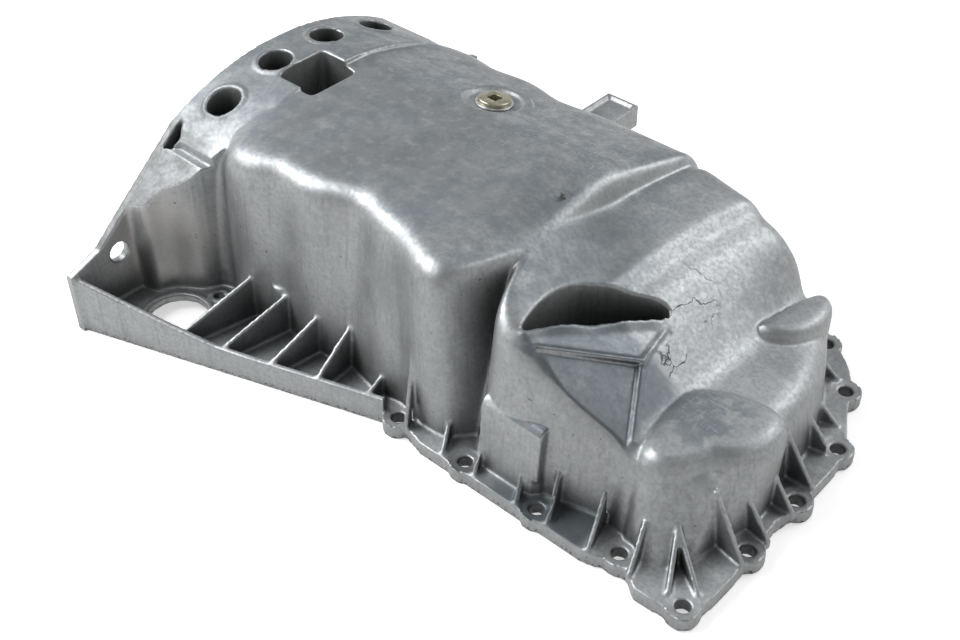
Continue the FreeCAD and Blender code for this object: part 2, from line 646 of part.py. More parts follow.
def near_panel():
    """Thickened panel low on the near wall, between two ribs, with a bevelled top."""
    section = [(-0.80 * HALF, FLANGE / 2), (-0.915 * HALF, FLANGE / 2), (-0.878 * HALF, SHELF - WALL),
               (-0.852 * HALF, SHELF), (-0.80 * HALF, SHELF)]
    start = LENGTH * 0.644
    corners = [Vector(start, across, height) for across, height in section]
    return Part.Face(Part.makePolygon(corners + corners[:1])).extrude(Vector(LENGTH * 0.100, 0, 0))


def half_round_boss():
    """Half-round boss low on the near wall, behind the first gusset ribs."""
    return post((LENGTH * 0.241, -0.81 * HALF), mm("half_boss"), FLANGE / 2, mm("half_boss_height"))


def rim_notch():
    """Notch between the gearbox rim and the first well, and the ledge that runs on from it."""
    rim = mm("rim_thick")
    depth = mm("arch_depth")
    slit = [(rim, -0.712), (rim, -0.87), (rim + 7, -0.85), (rim + 9, -0.80)]
    ledge = [(rim, -0.87), (depth, -0.87), (depth, -0.815), (rim + 11, -0.81), (rim + 7, -0.85)]
    notch = prism([(along, HALF * across) for along, across in slit], mm("notch_floor"), 2 * DECK)
    step = prism([(along, HALF * across) for along, across in ledge], mm("ledge_floor"), 2 * DECK)
    return notch.fuse(step)


def flutes():
    """Two upright flutes where the near wall leaves the gearbox end."""
    side = -0.915 * HALF
    return [post((LENGTH * along, side), mm("flute_dia"), FLANGE, 0.78 * DECK) for along in (0.106, 0.130)]


def bolt_places():
    """All flange bolts: the two straight sides, the corner and the front."""
    start = mm("bolt_start")
    pitch = mm("bolt_pitch")
    row = HALF - mm("bolt_inset")
    sides = [(start + pitch * step, side * row) for step in range(3) for side in (-1, 1)]
    front = plan_points([(0.877, -0.895), (0.982, -0.943), (0.991, -0.508), (0.991, -0.117), (0.982, 0.290),
                         (0.932, 0.660), (0.860, 0.905)])
    return sides + front


def port_place():
    return mm("port_setback"), -mm("port_side")


def dowel_place():
    return mm("dowel_setback"), -mm("dowel_side")


def ear_holes():
    """Gearbox bolt holes through both ears."""
    holes = []
    for side in (-1, 1):
        start = Vector(-1, side * mm("ear_bolt_side"), mm("ear_bolt_height"))
        holes.append(Part.makeCylinder(mm("ear_bolt") / 2, mm("arch_depth"), start, Vector(1, 0, 0)))
    return holes


def on_drain_axis(rise):
    """Place on the leaning drain axis, a given distance above the seat under the washer."""
    setback = mm("drain_setback")
    side = mm("drain_side")
    strip = (side - STRIP_START * HALF) * STRIP_FALL
    seat = Vector(setback, side, DECK - strip - mm("drain_recess"))
    lean = Rotation(Vector(1, 0, 0), -mm("drain_tilt"))
    return Placement(seat, lean).multiply(Placement(Vector(0, 0, rise), Rotation()))


def drain_bar(name, diameter, rise, height):
    """Cylinder on the leaning drain axis, bound to the sheet; it starts at rise above the seat."""
    bar = round_bar(name, (0, 0), diameter, 0, height)
    bar.Placement = on_drain_axis(rise)
    return bar


def seat_bevel():
    """Bevelled rim that widens the drain spot face upwards."""
    radius = mm("seat_dia") / 2
    height = 2 * mm("seat_bevel")
    bevel = Part.makeCone(radius, radius + height, height)
    bevel.Placement = on_drain_axis(mm("drain_collar") - mm("seat_bevel") / 2)
    return bevel


def window_block(margin, low):
    """Upright block over the window; the margin adds the wall of its shaft."""
    length = mm("window_length") + 2 * margin
    width = mm("window_width") + 2 * margin
    corner_place = Vector(mm("window_start") - margin, -mm("window_side") - margin, low)
    block = Part.makeBox(length, width, DECK * 1.5 - low, corner_place)
    uprights = [edge for edge in block.Edges if edge.BoundBox.ZLength > DECK / 2]
    return block.makeFillet(mm("window_corner") + margin, uprights)


def window_shaft():
    """Walls that drop from the window to the flange plate, kept under the arch."""
    radius = ARCH_RADIUS - mm("crown_rise") - WALL / 2
    under = Part.makeCylinder(radius, LENGTH, Vector(0, 0, -CRANK), Vector(1, 0, 0))
    return window_block(mm("window_wall"), FLANGE / 2).common(under)


def far_lug():
    """Small lug on the far wall with a shallow tray on its top."""
    start = mm("lug_setback") - mm("lug_width") / 2
    top = mm("lug_height")
    root = 0.75 * HALF
    rim = mm("lug_rim")
    tray = mm("lug_tray")
    block = Part.makeBox(mm("lug_width"), mm("lug_reach") - root, mm("lug_thick"),
                         Vector(start, root, top - mm("lug_thick")))
    recess = Part.makeBox(mm("lug_width") - 2 * rim, mm("lug_reach") - rim - root, tray,
                          Vector(start + rim, root, top - tray))
    return block.cut(recess)


def feature(name, shape):
    """Named form in the document."""
    form = doc.addObject("Part::Feature", name)
    form.Shape = shape
    return form


def fused(name, members):
    """Union of forms."""
    union = doc.addObject("Part::MultiFuse", name)
    union.Shapes = members
    return union


def less(name, base, tool):
    """One form without another."""
    rest = doc.addObject("Part::Cut", name)
    rest.Base = base
    rest.Tool = tool
    return rest


def round_bar(name, centre, diameter, low, height):
    """Upright cylinder bound to the sheet; diameter and height are expressions."""
    bar = doc.addObject("Part::Cylinder", name)
    bar.setExpression("Radius", f"({diameter}) / 2")
    bar.setExpression("Height", height)
    bar.Placement = Placement(Vector(centre[0], centre[1], low), Rotation())
    return bar


def build_pan():
    """The casting: one aluminium piece."""
    pads = [round_bar(f"bolt_pad_{index}", centre, "sizes.bolt_boss", 0, "sizes.flange_thick")
            for index, centre in enumerate(bolt_places(), start=1)]
    port_ring = round_bar("port_ring", port_place(), "sizes.port_bore + 2 * sizes.port_ring", 0,
                          "sizes.flange_thick + sizes.port_rise")
    dowel_pad = round_bar("dowel_pad", dowel_place(), "2 * sizes.dowel_bore", 0,
                          "sizes.flange_thick + sizes.port_rise")
    ribs = gusset_ribs()
    near_side = [gusset(), near_panel(), half_round_boss()] + ribs + side_ribs(len(SIDE_RIBS))
    far_side = [mirrored(shape) for shape in [gusset()] + ribs + side_ribs(FAR_RIBS)]
    forms = [feature("body_outside", outer_body()), feature("flange_plate", flange_plate()),
             feature("rear_arch", rear_arch().cut(rim_notch())), feature("far_lug", far_lug()),
             feature("near_side", near_side[0].multiFuse(near_side[1:])),
             feature("far_side", far_side[0].multiFuse(far_side[1:]))]
    front = front_ribs()
    forms.append(feature("front_ribs", front[0].multiFuse(front[1:])))
    solid = fused("solid_form", forms + pads + [port_ring, dowel_pad])
    hollow = fused("hollow_form", [feature("oil_space", oil_space()), feature("dry_bay", dry_bay())])
    boss = drain_bar("drain_boss", "sizes.drain_boss", -mm("plug_shank"), "sizes.plug_shank + sizes.drain_collar")
    carried = fused("carried_form", [less("shell_form", solid, hollow), feature("bolt_wells", bolt_wells()),
                                     feature("window_shaft", window_shaft()), boss])
    cuts = [round_bar(f"bolt_hole_{index}", centre, "sizes.bolt_hole", -1, "sizes.flange_thick * 2")
            for index, centre in enumerate(bolt_places() + well_places(), start=1)]
    cuts += [round_bar(f"well_{index}", centre, "sizes.well_bore", FLANGE, "sizes.deck_height * 2")
             for index, centre in enumerate(well_places(), start=1)]
    cuts += [round_bar(f"spot_face_{index}", centre, "sizes.bolt_boss - 1", FLANGE - mm("bolt_lip"),
                       "sizes.bolt_head_room")
             for index, centre in enumerate(bolt_places(), start=1)]
    cuts += [feature(f"flute_{index}", shape) for index, shape in enumerate(flutes(), start=1)]
    cuts.append(round_bar("port", port_place(), "sizes.port_bore", -1, "sizes.flange_thick * 2"))
    relief = (mm("relief_setback"), -mm("relief_side"))
    cuts.append(round_bar("port_relief", relief, "sizes.relief_dia", 0, "sizes.port_relief"))
    cuts.append(round_bar("dowel_hole", dowel_place(), "sizes.dowel_bore", -1, "sizes.flange_thick * 2"))
    cuts.append(drain_bar("drain_seat", "sizes.seat_dia", 0, "sizes.shoulder"))
    cuts.append(feature("seat_bevel", seat_bevel()))
    cuts.append(drain_bar("drain_bore", "sizes.plug_dia + 2 * sizes.plug_gap", -2 * mm("plug_shank"),
                          "3 * sizes.plug_shank"))
    cuts += [feature(f"ear_hole_{index}", shape) for index, shape in enumerate(ear_holes(), start=1)]
    cuts += [feature("window", window_block(0.0, FLANGE + WALL / 2)), feature("corner_pocket", pocket(0.0))]
    pan = less("oil_pan", carried, fused("openings", cuts))
    pan.Label = "oil_pan"
    return pan


def sketch_on(body, role, name):
    """Sketch on one of the body's own base planes."""
    plane = [item for item in body.Origin.OriginFeatures if item.Role == role][0]
    sketch = body.newObject("Sketcher::SketchObject", name)
    sketch.AttachmentSupport = [(plane, "")]
    sketch.MapMode = "FlatFace"
    return sketch


def dimensioned_circle(sketch, expression):
    """Circle on the sketch origin, its diameter bound to the sheet."""
    index = sketch.addGeometry(Part.Circle(Vector(0, 0, 0), Vector(0, 0, 1), 5.0))
    sketch.addConstraint(Sketcher.Constraint("Coincident", index, 3, -1, 1))
    size = sketch.addConstraint(Sketcher.Constraint("Diameter", index, 10.0))
    sketch.setExpression(f"Constraints[{size}]", expression)


def build_washer():
    """Flat sealing ring under the plug head."""
    body = doc.addObject("PartDesign::Body", "drain_washer")
    sketch = sketch_on(body, "XY_Plane", "washer_outline")
    dimensioned_circle(sketch, "sizes.washer_dia")
    dimensioned_circle(sketch, "sizes.plug_dia + 2 * sizes.plug_gap")
    pad = body.newObject("PartDesign::Pad", "washer_pad")
    pad.Profile = sketch
    pad.setExpression("Length", "sizes.washer_thick")
    body.Placement = on_drain_axis(0)
    body.Label = "drain_washer"
    return body


def build_plug():
    """Threaded plug with a round head and a square drive."""
    body = doc.addObject("PartDesign::Body", "drain_plug")
    head_sketch = sketch_on(body, "XY_Plane", "head_outline")
    dimensioned_circle(head_sketch, "sizes.plug_head")
    head = body.newObject("PartDesign::Pad", "head")
    head.Profile = head_sketch
    head.setExpression("Length", "sizes.plug_head_thick")
    shank_sketch = sketch_on(body, "XY_Plane", "shank_outline")
    dimensioned_circle(shank_sketch, "sizes.plug_dia")
    shank = body.newObject("PartDesign::Pad", "shank")
    shank.Profile = shank_sketch
    shank.Reversed = True
    shank.setExpression("Length", "sizes.plug_shank")
    doc.recompute()
    edge = body.newObject("PartDesign::Chamfer", "head_edge")
    top = max(range(len(shank.Shape.Edges)), key=lambda index: shank.Shape.Edges[index].BoundBox.ZMin)
    edge.Base = (shank, [f"Edge{top + 1}"])
    edge.setExpression("Size", "sizes.plug_edge")
    drive = sketch_on(body, "XY_Plane", "drive_outline")
    drive.AttachmentOffset = Placement(Vector(0, 0, mm("plug_head_thick")), Rotation())
    drive.setExpression("AttachmentOffset.Base.z", "sizes.plug_head_thick")
    half = mm("socket_square") / 2
    turns = [(-half, -half), (half, -half), (half, half), (-half, half)]
    corners = [Vector(across, along, 0) for across, along in turns]
    sides = [Part.LineSegment(corners[index], corners[(index + 1) % 4]) for index in range(4)]
    lines = [drive.addGeometry(side) for side in sides]
    for index in range(4):
        drive.addConstraint(Sketcher.Constraint("Coincident", lines[index], 2, lines[(index + 1) % 4], 1))
        direction = "Horizontal" if index % 2 == 0 else "Vertical"
        drive.addConstraint(Sketcher.Constraint(direction, lines[index]))
    drive.addConstraint(Sketcher.Constraint("Symmetric", lines[0], 1, lines[1], 2, -1, 1))
    for line, kind in ((lines[0], "DistanceX"), (lines[1], "DistanceY")):
        size = drive.addConstraint(Sketcher.Constraint(kind, line, 1, line, 2, 2 * half))
        drive.setExpression(f"Constraints[{size}]", "sizes.socket_square")
    socket = body.newObject("PartDesign::Pocket", "drive_socket")
    socket.Profile = drive
    socket.setExpression("Length", "sizes.socket_depth")
    body.Tip = socket
    body.Placement = on_drain_axis(mm("washer_thick"))
    body.Label = "drain_plug"
    return body


parts = [build_pan(), build_washer(), build_plug()]
doc.recompute()
for item in doc.Objects:
    if "Invalid" in item.State or "Error" in item.State:
        raise RuntimeError(f"{item.Name} did not build: {item.State}")
os.makedirs("parts", exist_ok=True)
for part in parts:
    if part.Shape.isNull() or not part.Shape.isValid():
        raise RuntimeError(f"{part.Label} has no valid shape")
    print(part.Label, len(part.Shape.Solids), round(part.Shape.Volume), part.Shape.BoundBox)
    part.Shape.exportStep(f"parts/{part.Label}.step")
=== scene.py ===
import json
import math

import bpy
from mathutils import Matrix, Vector, noise as turbulence

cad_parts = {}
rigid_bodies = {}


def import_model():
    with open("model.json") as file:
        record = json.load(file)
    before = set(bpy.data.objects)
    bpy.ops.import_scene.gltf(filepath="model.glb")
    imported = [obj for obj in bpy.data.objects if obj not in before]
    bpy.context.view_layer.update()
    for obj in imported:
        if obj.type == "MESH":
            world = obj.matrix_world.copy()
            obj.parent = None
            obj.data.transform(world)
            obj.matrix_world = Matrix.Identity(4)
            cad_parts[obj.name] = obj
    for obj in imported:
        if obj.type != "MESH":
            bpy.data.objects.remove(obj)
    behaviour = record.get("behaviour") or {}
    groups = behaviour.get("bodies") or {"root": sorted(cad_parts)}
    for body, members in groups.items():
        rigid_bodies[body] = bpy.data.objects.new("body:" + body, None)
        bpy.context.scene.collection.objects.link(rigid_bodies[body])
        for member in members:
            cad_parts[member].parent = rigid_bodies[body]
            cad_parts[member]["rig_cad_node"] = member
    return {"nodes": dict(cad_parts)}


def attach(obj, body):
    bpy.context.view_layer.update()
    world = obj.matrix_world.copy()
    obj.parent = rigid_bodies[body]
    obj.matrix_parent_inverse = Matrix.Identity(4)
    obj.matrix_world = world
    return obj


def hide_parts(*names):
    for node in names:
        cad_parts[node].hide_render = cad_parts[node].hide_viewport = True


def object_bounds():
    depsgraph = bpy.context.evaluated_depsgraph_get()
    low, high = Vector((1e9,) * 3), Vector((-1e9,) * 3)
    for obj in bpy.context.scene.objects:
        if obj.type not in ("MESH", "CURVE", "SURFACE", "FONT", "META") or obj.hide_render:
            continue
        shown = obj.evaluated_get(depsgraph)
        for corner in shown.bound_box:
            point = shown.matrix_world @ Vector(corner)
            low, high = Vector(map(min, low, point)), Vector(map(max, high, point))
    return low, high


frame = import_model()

cad_low, cad_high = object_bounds()

# The camera stands above the near front corner and looks down along the pan,
# at the height and distance that the photograph was taken from.
camera_place = Vector((0.6601, -0.5133, 0.5805))
camera_tilt = 0.70157
camera_turn = 0.74762
camera_roll = -0.01149
bpy.ops.object.select_all(action="DESELECT")
bpy.ops.object.camera_add()
camera = bpy.context.active_object
camera.name = "camera"
camera.matrix_world = (
    Matrix.Translation(camera_place)
    @ Matrix.Rotation(camera_turn, 4, "Z")
    @ Matrix.Rotation(math.pi / 2 - camera_tilt, 4, "X")
    @ Matrix.Rotation(camera_roll, 4, "Z")
)
camera.data.sensor_width = 36
camera.data.lens = 50.61
camera.data.clip_start = 0.01
bpy.context.scene.camera = camera

# The studio: a white table that keeps the pan's soft shadow, a white sweep
# round the horizon under a dim ceiling, and three soft boxes.
middle = (cad_low + cad_high) / 2
bpy.ops.mesh.primitive_plane_add(size=8, location=(middle.x, middle.y, cad_low.z))
floor = bpy.context.active_object
floor.name = "floor"
table = bpy.data.materials.new("white_table")
table.use_nodes = True
nodes = table.node_tree.nodes
links = table.node_tree.links
nodes.clear()
output = nodes.new("ShaderNodeOutputMaterial")
path = nodes.new("ShaderNodeLightPath")
seen = nodes.new("ShaderNodeMath")
seen.operation = "MAXIMUM"
links.new(path.outputs["Is Camera Ray"], seen.inputs[0])
links.new(path.outputs["Is Glossy Ray"], seen.inputs[1])
seen_through = nodes.new("ShaderNodeMath")
seen_through.operation = "MAXIMUM"
links.new(seen.outputs[0], seen_through.inputs[0])
links.new(path.outputs["Is Transmission Ray"], seen_through.inputs[1])
paper = nodes.new("ShaderNodeBsdfDiffuse")
paper.inputs["Color"].default_value = (0.8, 0.8, 0.8, 1)
glow = nodes.new("ShaderNodeEmission")
glow.inputs["Strength"].default_value = 0.55
lit = nodes.new("ShaderNodeAddShader")
links.new(paper.outputs[0], lit.inputs[0])
links.new(glow.outputs[0], lit.inputs[1])
mixed = nodes.new("ShaderNodeMixShader")
links.new(seen_through.outputs[0], mixed.inputs["Fac"])
links.new(paper.outputs[0], mixed.inputs[1])
links.new(lit.outputs[0], mixed.inputs[2])
links.new(mixed.outputs[0], output.inputs["Surface"])
floor.data.materials.append(table)

world = bpy.data.worlds.new("studio")
bpy.context.scene.world = world
world.use_nodes = True
nodes = world.node_tree.nodes
links = world.node_tree.links
nodes.clear()
output = nodes.new("ShaderNodeOutputWorld")
path = nodes.new("ShaderNodeLightPath")
seen = nodes.new("ShaderNodeMath")
seen.operation = "MAXIMUM"
links.new(path.outputs["Is Camera Ray"], seen.inputs[0])
links.new(path.outputs["Is Glossy Ray"], seen.inputs[1])
seen_through = nodes.new("ShaderNodeMath")
seen_through.operation = "MAXIMUM"
links.new(seen.outputs[0], seen_through.inputs[0])
links.new(path.outputs["Is Transmission Ray"], seen_through.inputs[1])
direction = nodes.new("ShaderNodeTexCoord")
height = nodes.new("ShaderNodeSeparateXYZ")
links.new(direction.outputs["Generated"], height.inputs[0])
sweep = nodes.new("ShaderNodeValToRGB")
sweep.color_ramp.elements[0].position = 0.25
sweep.color_ramp.elements[0].color = (1, 1, 1, 1)
sweep.color_ramp.elements[1].position = 0.5
sweep.color_ramp.elements[1].color = (0.22, 0.22, 0.22, 1)
links.new(height.outputs["Z"], sweep.inputs[0])
room = nodes.new("ShaderNodeBackground")
room.inputs["Color"].default_value = (1, 1, 1, 1)
room.inputs["Strength"].default_value = 0.25
backdrop = nodes.new("ShaderNodeBackground")
links.new(sweep.outputs["Color"], backdrop.inputs["Color"])
mixed = nodes.new("ShaderNodeMixShader")
links.new(seen_through.outputs[0], mixed.inputs["Fac"])
links.new(room.outputs[0], mixed.inputs[1])
links.new(backdrop.outputs[0], mixed.inputs[2])
links.new(mixed.outputs[0], output.inputs["Surface"])

soft_boxes = {
    "key_box": (Vector((-0.70, -0.62, 1.05)), 1.05, 26.0),
    "front_box": (Vector((0.86, 0.83, 0.92)), 0.62, 6.0),
    "top_box": (Vector((0.10, 0.90, 1.50)), 1.10, 2.5),
}
for name, (place, width, watts) in soft_boxes.items():
    bpy.ops.object.light_add(type="AREA", location=place)
    lamp = bpy.context.active_object
    lamp.name = name
    lamp.rotation_euler = (place - middle).to_track_quat("Z", "Y").to_euler()
    lamp.data.shape = "SQUARE"
    lamp.data.size = width
    lamp.data.energy = watts

# The casting: one die-cast aluminium shell with its flange, ribs, ears, wells
# and arch. Its inner corners fill and its edges are rounded as the metal flows,
# and the die leaves drag marks on the walls and a ragged parting line below.
weld = 0.00002
grain = 0.0010
casting_triangles = 190000
flash_height = 0.0035
flash_bite = 0.0006
flash_ripple = 420
flash_side = 0.10
crest_left = Vector((0.304, -0.096, 0.108))
crest_right = Vector((0.341, -0.017, 0.088))
crest_reach = 0.006
crest_overrun = 0.03
crest_passes = 40
bpy.ops.object.select_all(action="DESELECT")
solid = frame["nodes"]["oil_pan"]
solid.select_set(True)
bpy.context.view_layer.objects.active = solid
bpy.ops.object.duplicate()
casting = bpy.context.active_object
casting.name = "casting"
casting.parent = None
del casting["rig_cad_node"]
bpy.ops.object.mode_set(mode="EDIT")
bpy.ops.mesh.select_all(action="SELECT")
bpy.ops.mesh.remove_doubles(threshold=weld)
bpy.ops.object.mode_set(mode="OBJECT")
skin = casting.modifiers.new("skin", "REMESH")
skin.mode = "VOXEL"
skin.voxel_size = grain
skin.use_smooth_shade = True
bpy.ops.object.modifier_apply(modifier="skin")
flow = casting.modifiers.new("flow", "SMOOTH")
flow.factor = 0.5
flow.iterations = 6
bpy.ops.object.modifier_apply(modifier="flow")
crest_run = crest_right - crest_left
near_crest = []
for point in casting.data.vertices:
    along = (point.co - crest_left).dot(crest_run) / crest_run.length_squared
    apart = (point.co - crest_left - crest_run * along).length
    if -crest_overrun < along < 1 + crest_overrun and apart < crest_reach:
        near_crest.append(point.index)
casting.vertex_groups.new(name="crest").add(near_crest, 1.0, "REPLACE")
round_off = casting.modifiers.new("round_off", "SMOOTH")
round_off.vertex_group = "crest"
round_off.factor = 0.5
round_off.iterations = crest_passes
bpy.ops.object.modifier_apply(modifier="round_off")
thin = casting.modifiers.new("thin", "DECIMATE")
thin.ratio = min(1.0, casting_triangles / (2 * len(casting.data.polygons)))
bpy.ops.object.modifier_apply(modifier="thin")
for point in casting.data.vertices:
    if point.co.z < flash_height and abs(point.co.y) > flash_side:
        bite = max(0.0, turbulence.noise(point.co * flash_ripple)) * flash_bite
        point.co.y -= math.copysign(bite, point.co.y)
bpy.ops.geometry.color_attribute_add(
    name="edges", domain="POINT", data_type="FLOAT_COLOR", color=(0.5, 0.5, 0.5, 1)
)
bpy.ops.object.mode_set(mode="VERTEX_PAINT")
bpy.ops.paint.vertex_color_dirt(
    blur_strength=1.0, blur_iterations=1, clean_angle=math.radians(180), dirt_angle=0,
    dirt_only=False, normalize=True,
)
bpy.ops.object.mode_set(mode="OBJECT")

pale_skin = (0.44, 0.458, 0.470, 1)
grey_skin = (0.28, 0.295, 0.305, 1)
dull_speck = (0.22, 0.23, 0.235, 1)
pale_speck = (0.56, 0.575, 0.585, 1)
blue_stain = (0.165, 0.195, 0.22, 1)
pale_drag = (0.40, 0.405, 0.40, 1)
dark_drag = (0.16, 0.162, 0.16, 1)
facet_shade_blue = (0.125, 0.145, 0.158, 1)
wall_shade_grey = (0.19, 0.195, 0.193, 1)
dark_arch_rim = (0.115, 0.12, 0.122, 1)
hollow_shade_grey = (0.26, 0.26, 0.265, 1)
unshaded_white = (1, 1, 1, 1)
baked_brown = (0.50, 0.48, 0.455, 1)
edge_highlight_pale = (0.74, 0.755, 0.765, 1)
pit_black = (0.06, 0.06, 0.06, 1)
crumb_black = (0.03, 0.03, 0.03, 1)
scratch_white = (0.85, 0.86, 0.87, 1)
crack_black = (0.045, 0.045, 0.045, 1)
lobe_stain_place = (0.392, -0.040, 0.062)
slope_place = (0.284, -0.022, 0.117)
baked_place = (0.010, -0.122, 0.050)
scuff_places = (
    ((0.185, 0.020, 0.131), 0.055),
    ((0.114, 0.028, 0.132), 0.030),
    ((0.390, -0.040, 0.062), 0.022),
    ((0.235, 0.030, 0.128), 0.040),
)
crack_places = (
    ((0.338, 0.012, 0.086), 0.026),
    ((0.357, -0.028, 0.072), 0.016),
)
chip_places = (
    ((0.258, -0.008, 0.126), 0.0085),
    ((0.293, -0.022, 0.117), 0.003),
)
raw = bpy.data.materials.new("as_cast_aluminium")
raw.use_nodes = True
nodes = raw.node_tree.nodes
links = raw.node_tree.links
shader = nodes["Principled BSDF"]
shader.inputs["Metallic"].default_value = 0.8


def feed(socket, source):
    """A number or colour is set on the socket, and a node's output is linked to it."""
    if isinstance(source, bpy.types.NodeSocket):
        links.new(source, socket)
    else:
        socket.default_value = source


def band(source, low, high, to_low=0.0, to_high=1.0):
    """Soft step of a value between two limits."""
    node = nodes.new("ShaderNodeMapRange")
    node.interpolation_type = "SMOOTHSTEP"
    feed(node.inputs["Value"], source)
    node.inputs["From Min"].default_value = low
    node.inputs["From Max"].default_value = high
    node.inputs["To Min"].default_value = to_low
    node.inputs["To Max"].default_value = to_high
    return node.outputs["Result"]


def sums(operation, first, second):
    """One sum of two values."""
    node = nodes.new("ShaderNodeMath")
    node.operation = operation
    feed(node.inputs[0], first)
    feed(node.inputs[1], second)
    return node.outputs[0]


def both(*sources):
    """Product of several masks."""
    product = sources[0]
    for source in sources[1:]:
        product = sums("MULTIPLY", product, source)
    return product


def over(factor, under, top):
    """One colour laid over another."""
    node = nodes.new("ShaderNodeMix")
    node.data_type = "RGBA"
    feed(node.inputs["Factor"], factor)
    feed(node.inputs["A"], under)
    feed(node.inputs["B"], top)
    return node.outputs["Result"]


def stretched(scale, turn=(0, 0, 0)):
    """Object coordinates, turned and stretched for streaks."""
    node = nodes.new("ShaderNodeMapping")
    links.new(place.outputs["Object"], node.inputs["Vector"])
    node.inputs["Scale"].default_value = scale
    node.inputs["Rotation"].default_value = turn
    return node.outputs["Vector"]


def grains(scale, detail, rough, where=None):
    """Noise in the piece's own coordinates, from 0 to 1 round 0.5."""
    node = nodes.new("ShaderNodeTexNoise")
    links.new(where or place.outputs["Object"], node.inputs["Vector"])
    node.inputs["Scale"].default_value = scale
    node.inputs["Detail"].default_value = detail
    node.inputs["Roughness"].default_value = rough
    return node.outputs["Fac"]


def near_to(centre, reach):
    """Soft patch round a point of the casting."""
    node = nodes.new("ShaderNodeVectorMath")
    node.operation = "DISTANCE"
    links.new(place.outputs["Object"], node.inputs[0])
    node.inputs[1].default_value = centre
    return band(node.outputs["Value"], reach, reach * 0.45)


def near_any(places):
    """Soft patches round several points of the casting."""
    patches = near_to(*places[0])
    for centre_and_reach in places[1:]:
        patches = sums("MAXIMUM", patches, near_to(*centre_and_reach))
    return patches


place = nodes.new("ShaderNodeTexCoord")
facing = nodes.new("ShaderNodeSeparateXYZ")
links.new(place.outputs["Normal"], facing.inputs[0])
spot = nodes.new("ShaderNodeSeparateXYZ")
links.new(place.outputs["Object"], spot.inputs[0])
upward = band(facing.outputs["Z"], 0.78, 0.96)
sideways = band(facing.outputs["Z"], 0.75, 0.35)
high = band(spot.outputs["Z"], 0.100, 0.116)
floor_face = both(upward, high)

cloud = grains(16, 7, 0.62)
mottle = grains(70, 6, 0.68)
speck = grains(420, 3, 0.5)
tone = over(band(cloud, 0.30, 0.70), grey_skin, pale_skin)
tone = over(band(speck, 0.42, 0.62, 0.0, 0.30), tone, dull_speck)
tone = over(band(grains(150, 4, 0.6), 0.50, 0.66, 0.0, 0.30), tone, pale_speck)
stain = both(floor_face, band(sums("ADD", cloud, mottle), 0.84, 1.18))
lobe_stain = both(near_to(lobe_stain_place, 0.034), band(mottle, 0.38, 0.55), upward)
stain = sums("MAXIMUM", stain, lobe_stain)
tone = over(both(stain, 0.68), tone, blue_stain)
streak = grains(1, 5, 0.6, stretched((380, 380, 14)))
tone = over(both(sideways, band(streak, 0.45, 0.70), 0.35), tone, pale_drag)
tone = over(both(sideways, band(streak, 0.50, 0.30), 0.35), tone, dark_drag)

# Painted shade: the facets under the pocket and the slope behind it are painted a
# dark bluish grey, and the walls are painted darker than the floor; the arch's rim is darker.
slope = both(near_to(slope_place, 0.060), band(facing.outputs["Z"], 0.6, 0.8))
facets = both(band(spot.outputs["Y"], -0.033, -0.043), band(spot.outputs["X"], 0.298, 0.310))
facets = both(facets, band(spot.outputs["X"], 0.378, 0.366), band(facing.outputs["Z"], 0.45, 0.60))
# Painted shade on the facets and the slope behind them, in a dark bluish grey.
painted_facet_shade = sums("MAXIMUM", both(slope, 0.55), both(facets, 0.92))
tone = over(both(painted_facet_shade, band(mottle, 0.2, 0.6, 0.75, 1.0)), tone, facet_shade_blue)
# Painted shade: walls that face sideways are painted darker than the floor.
tone = over(both(sideways, 0.50), tone, wall_shade_grey)
rim = both(band(facing.outputs["Y"], -0.30, -0.60), band(spot.outputs["X"], 0.052, 0.036))
rim = both(rim, band(facing.outputs["Z"], 0.5, 0.7), band(spot.outputs["Z"], 0.140, 0.122))
tone = over(both(rim, band(mottle, 0.35, 0.65, 0.75, 1.0)), tone, dark_arch_rim)

# Painted shade: hollows, inner corners and the gaps between the ribs are darkened by ambient
# occlusion multiplied into the colour.
hollow = nodes.new("ShaderNodeAmbientOcclusion")
hollow.samples = 6
hollow.inputs["Distance"].default_value = 0.030
shade = band(hollow.outputs["AO"], 0.05, 0.62)
painted_hollow_shade = over(shade, hollow_shade_grey, unshaded_white)
shaded_by_hollows = nodes.new("ShaderNodeMix")
shaded_by_hollows.data_type = "RGBA"
shaded_by_hollows.blend_type = "MULTIPLY"
shaded_by_hollows.inputs["Factor"].default_value = 1.0
links.new(tone, shaded_by_hollows.inputs["A"])
links.new(painted_hollow_shade, shaded_by_hollows.inputs["B"])
tone = shaded_by_hollows.outputs["Result"]
baked = both(near_to(baked_place, 0.055), sideways, band(facing.outputs["X"], 0.1, 0.5))
tone = over(both(baked, 0.55), tone, baked_brown)

# Painted highlight: convex edges found by the edges attribute are painted pale, broken up by the
# mottle.
edges = nodes.new("ShaderNodeAttribute")
edges.attribute_name = "edges"
painted_edge_highlight = both(band(edges.outputs["Fac"], 0.515, 0.59), band(mottle, 0.25, 0.55))
tone = over(both(painted_edge_highlight, 0.8), tone, edge_highlight_pale)

pit = both(sideways, band(grains(360, 2, 0.4), 0.69, 0.75), band(mottle, 0.48, 0.58))
tone = over(both(pit, 0.75), tone, pit_black)
crumb = both(band(spot.outputs["Z"], 0.0045, 0.0025), band(grains(520, 2, 0.5), 0.56, 0.62))
tone = over(crumb, tone, crumb_black)

# Fine scratches from handling, round the drain and on the lobe.
fine = band(grains(1, 2, 0.5, stretched((90, 2300, 90), (0, 0, 0.6))), 0.64, 0.69)
crossing = band(grains(1, 2, 0.5, stretched((2300, 130, 90), (0, 0, 0.35))), 0.66, 0.70)
scuffs = sums("MAXIMUM", fine, crossing)
scratch = both(scuffs, near_any(scuff_places), band(mottle, 0.40, 0.60))
tone = over(both(scratch, 0.6), tone, scratch_white)

